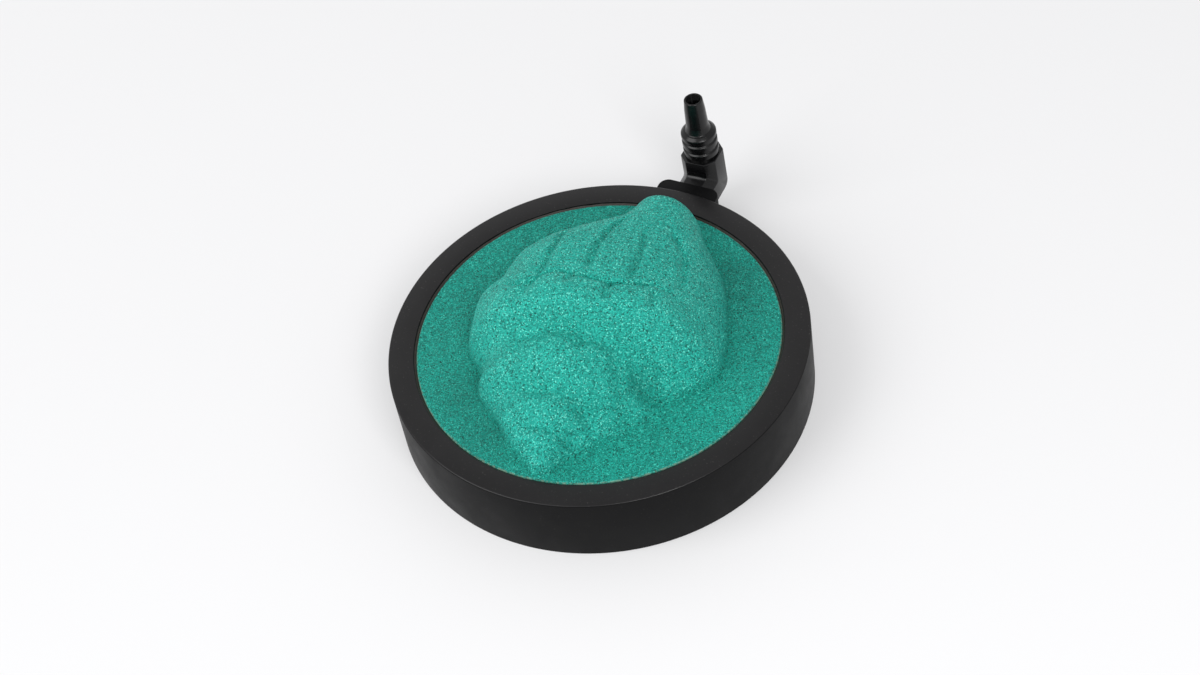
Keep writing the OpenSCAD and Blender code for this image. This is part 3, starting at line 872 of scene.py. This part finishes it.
def curedAdhesive(values):
    # epoxy run in by hand and cured: brownish, half gloss, slightly lumpy, with dust from the granules in it
    material, tree, shader = newMaterial("curedEpoxy", values["colour"])
    place = addNode(tree, "ShaderNodeTexCoord").outputs["Object"]
    lumps = addNode(tree, "ShaderNodeTexNoise", {
        "Vector": place, "Scale": 1 / (values["lumpWidth"] * mm), "Detail": 3.0})
    dust = addNode(tree, "ShaderNodeTexNoise", {
        "Vector": place, "Scale": 1 / (values["dustWidth"] * mm), "Detail": 2.0})
    tone = addNode(tree, "ShaderNodeValToRGB", {"Fac": dust.outputs["Fac"]})
    stops = tone.color_ramp.elements
    stops[0].position, stops[0].color = 0.4, hexToLinear(values["darkColour"])
    stops[1].position, stops[1].color = 0.72, hexToLinear(values["dustColour"])
    middle = stops.new(0.55)
    middle.color = hexToLinear(values["colour"])
    tree.links.new(tone.outputs["Color"], shader.inputs["Base Color"])
    bump = addNode(tree, "ShaderNodeBump", {
        "Strength": 0.5, "Distance": values["lumpDepth"] * mm, "Height": lumps.outputs["Fac"]})
    tree.links.new(bump.outputs["Normal"], shader.inputs["Normal"])
    gloss = addNode(tree, "ShaderNodeMapRange", {
        "Value": dust.outputs["Fac"], "From Min": 0.35, "From Max": 0.65, "To Min": 0.35, "To Max": 0.7})
    tree.links.new(gloss.outputs["Result"], shader.inputs["Roughness"])
    return material


def makeSealant(values, adhesive):
    low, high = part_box("stone_sealant")
    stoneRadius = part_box("diffuser_stone")[1].x / mm
    outer, bottom, top = high.x / mm, low.z / mm, high.z / mm
    segments = values["segments"]
    atRim, halfway, byStone = values["climb"]
    points, faces = [], []
    for k in range(segments):
        a = 2 * math.pi * k / segments
        here = Vector((math.cos(a), math.sin(a), 0)) * values["waveRadius"]
        wave = noise.noise(here) + 0.6 * noise.noise(here * 3.1)
        crown = top + values["unevenness"] * wave
        inner = stoneRadius - values["overlap"] * (1 + wave)
        # foot, wall, the hollow crown that climbs the rim, edge on the stone
        ring = (
            (stoneRadius, bottom), (outer, bottom), (outer, crown + atRim),
            ((stoneRadius + outer) / 2, crown + halfway), (stoneRadius - 0.05, crown + byStone),
            (inner, top - 0.12), (stoneRadius, top - 0.9),
        )
        points += [(r * math.cos(a) * mm, r * math.sin(a) * mm, z * mm) for r, z in ring]
    count = len(points) // segments
    for k in range(segments):
        n = (k + 1) % segments
        for i in range(count):
            j = (i + 1) % count
            faces.append((k * count + i, k * count + j, n * count + j, n * count + i))
    bead = meshObject("sealant_bead", points, faces, adhesive)
    fixNormals(bead)
    smoothFaces(bead, 50)
    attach(bead, "disc")
    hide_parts("stone_sealant")


makeSealant(sealantValues, curedAdhesive(sealantValues))
print("sealant made")


# elbow

elbowValues = {      # mm
    "legWidth": 10.4,
    "legChamfer": 2.4,
    "legReach": 9.0,
    "legRise": 10.3,
    "heelRound": 1.8,
    "innerRound": 0.8,
    "edgeRound": 0.2,
    "gap": 0.3,             # between the lying leg and the tray's tab
    "barbRadius": 4.9,
    "barbLength": 8.7,
    "ringCount": 3,
    "ringDepth": 0.45,
    "neck": 0.75,
    "tipRadius": 2.55,
    "tipTaper": 0.4,        # how much wider the tip is at its foot
    "tipLength": 10.8,
    "tipBore": 2.05,
    "flareLength": 7.4,
    "flareRadius": 0.3,
    "spigotRadius": 3.75,
    "spigotLength": 10.8,
    "spigotBore": 1.5,
    "grooveDepth": 1.56,
    "grooveWidth": 1.8,
    "grooveAt": 8.6,
    "snapRise": 0.28,
    "snapWidth": 1.2,
    "snapAt": 4.2,
    "segments": 96,
}


def legsMesh(values, material):
    # eight-sided legs that meet in a mitre, with a rounded heel and a small round inside the bend
    half = values["legWidth"] / 2
    flat = half - values["legChamfer"]
    reach, rise = values["legReach"], values["legRise"]
    section = (
        (flat, half), (half, flat), (half, -flat), (flat, -half),
        (-flat, -half), (-half, -flat), (-half, flat), (-flat, half),
    )
    # the section at the lying leg's end, in the mitre, and at the standing leg's top
    places = (
        [(u, values["gap"], w) for u, w in section],
        [(u, reach - w, w) for u, w in section],
        [(u, reach - w, rise) for u, w in section],
    )
    shape = bmesh.new()
    rings = [[shape.verts.new(Vector(p) * mm) for p in ring] for ring in places]
    count = len(section)
    for first, second in zip(rings, rings[1:]):
        for i in range(count):
            j = (i + 1) % count
            shape.faces.new((first[i], first[j], second[j], second[i]))
    shape.faces.new(rings[0][::-1])
    shape.faces.new(rings[2])

    def mitreEdges(sides):
        wanted = {frozenset((rings[1][i], rings[1][(i + 1) % count])) for i in sides}
        return [edge for edge in shape.edges if frozenset(edge.verts) in wanted]

    heel, inside = mitreEdges((2, 3, 4)), mitreEdges((0, 6, 7))
    heelRound, innerRound = values["heelRound"] * mm, values["innerRound"] * mm
    bmesh.ops.bevel(shape, geom=heel, offset=heelRound, segments=6, profile=0.5, affect="EDGES")
    inside = [edge for edge in inside if edge.is_valid]
    bmesh.ops.bevel(shape, geom=inside, offset=innerRound, segments=3, profile=0.5, affect="EDGES")
    # the rounded heel keeps within the legs' faces
    for vert in shape.verts:
        vert.co.y = min(vert.co.y, (reach + half) * mm)
        vert.co.z = max(vert.co.z, -half * mm)
    bmesh.ops.recalc_face_normals(shape, faces=shape.faces)
    mesh = bpy.data.meshes.new("legs")
    shape.to_mesh(mesh)
    shape.free()
    mesh.materials.append(material)
    legs = bpy.data.objects.new("elbow_moulding", mesh)
    scene.collection.objects.link(legs)
    bevelEdges(legs, values["edgeRound"] * mm, 2, 30)
    return legs


def barbOutline(values):
    # from the foot of the large barb to the mouth of the small tip
    pitch = values["barbLength"] / values["ringCount"]
    outer = values["barbRadius"]
    neckRadius = outer - values["ringDepth"]
    corners = [(0, -3.0, 0), (neckRadius, -3.0, 0)]
    for i in range(values["ringCount"]):
        foot = i * pitch
        corners.append((neckRadius, foot + values["neck"] - 0.12, 0.18))
        corners.append((outer, foot + values["neck"] + 0.2, 0.3))
        last = i == values["ringCount"] - 1
        corners.append((outer, foot + pitch - (0.75 if last else 0.35), 0.5 if last else 0.3))
        if not last:
            corners.append((neckRadius, foot + pitch, 0.18))
    tip, flare, taper = values["tipRadius"], values["flareRadius"], values["tipTaper"]
    base = values["barbLength"]
    top = base + values["tipLength"]
    corners += [
        (outer - 0.9, base, 0.4),
        (tip + taper + 2 * flare, base + 0.05, 0.45),
        (tip + taper + flare / 2, base + values["flareLength"] / 4, 1.2),
        (tip + 0.8 * taper, base + values["flareLength"], 3.0),
        (tip, top, 0.22),
        (values["tipBore"], top, 0.12),
        (values["tipBore"], top - 2.5, 0),
        (0, top - 2.5, 0),
    ]
    return [p * mm for p in roundCorners(corners)]


def makeElbow(values, material):
    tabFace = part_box("tray")[1].y
    lean = next(m for m in frame["record"]["mounts"] if m["name"] == "hose_tip")["axis"]
    inlet = Vector(frame["joints"][0]["pos_m"])
    elbow = legsMesh(values, material)
    barb = latheMesh("barb", barbOutline(values), values["segments"], material)
    barb.data.transform(Matrix.Translation((0, values["legReach"] * mm, values["legRise"] * mm)))
    combine(elbow, barb, "UNION")

    # the spigot turns in the tray's socket: snap ring, then the O-ring's groove
    r, end = values["spigotRadius"], values["spigotLength"]
    ring = values["grooveAt"]
    width = values["grooveWidth"] / 2
    snap, rise = values["snapAt"], values["snapRise"]
    snapHalf, bed = values["snapWidth"] / 2, r - values["grooveDepth"]
    outline = [
        (0, -1.5, 0), (r, -1.5, 0), (r, snap - snapHalf, 0.1), (r + rise, snap, 0.15),
        (r, snap + snapHalf, 0.1), (r, ring - width, 0.08), (bed, ring - width, 0.1),
        (bed, ring + width, 0.1), (r, ring + width, 0.08), (r, end, 0.35), (0, end, 0),
    ]
    spigot = latheMesh("spigot", [p * mm for p in roundCorners(outline)], values["segments"], material)
    spigot.data.transform(Matrix.Rotation(math.pi / 2, 4, "X"))
    combine(elbow, spigot, "UNION")

    # the airway: down the tip, round the bend and out through the spigot
    reach = values["legReach"] * mm
    top = values["legRise"] + values["barbLength"] + values["tipLength"]
    bore = circlePoints(values["tipBore"] * mm, 48)
    standing = Matrix.Translation((0, reach, 0))
    combine(elbow, prismMesh("cut", bore, 0, (top - 1) * mm, material, standing), "DIFFERENCE")
    bore = circlePoints(values["spigotBore"] * mm, 48)
    lying = Matrix.Rotation(math.pi / 2, 4, "X")
    combine(elbow, prismMesh("cut", bore, -reach, (end + 1) * mm, material, lying), "DIFFERENCE")
    turn = Matrix.Rotation(math.atan2(lean[0], lean[2]), 4, "Y")
    elbow.data.transform(Matrix.Translation((inlet.x, tabFace, inlet.z)) @ turn)
    smoothFaces(elbow, 28)
    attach(elbow, "elbow")
    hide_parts("swivel_elbow")


makeElbow(elbowValues, elbowAbs)
print("elbow made")


# O-ring

ringValues = {      # mm
    "colour": "#101011",
    "peelWidth": 0.2,
    "peelDepth": 0.02,
    "roughness": (0.5, 0.7),
}


def nitrileRubber(values):
    # moulded nitrile: dull black with a faint orange-peel bump
    material, tree, shader = newMaterial("nitrileRubber", values["colour"])
    place = addNode(tree, "ShaderNodeTexCoord").outputs["Object"]
    peel = addNode(tree, "ShaderNodeTexNoise", {
        "Vector": place, "Scale": 1 / (values["peelWidth"] * mm), "Detail": 2.0})
    bump = addNode(tree, "ShaderNodeBump", {
        "Strength": 0.3, "Distance": values["peelDepth"] * mm, "Height": peel.outputs["Fac"]})
    gloss = addNode(tree, "ShaderNodeMapRange", {
        "Value": peel.outputs["Fac"], "From Min": 0.3, "From Max": 0.7,
        "To Min": values["roughness"][0], "To Max": values["roughness"][1]})
    shader.inputs["Base Color"].default_value = hexToLinear(values["colour"])
    tree.links.new(gloss.outputs["Result"], shader.inputs["Roughness"])
    tree.links.new(bump.outputs["Normal"], shader.inputs["Normal"])
    return material


ringMaterials = frame["nodes"]["inlet_o_ring"].data.materials
ringMaterials.clear()
ringMaterials.append(nitrileRubber(ringValues))
print("O-ring finished")
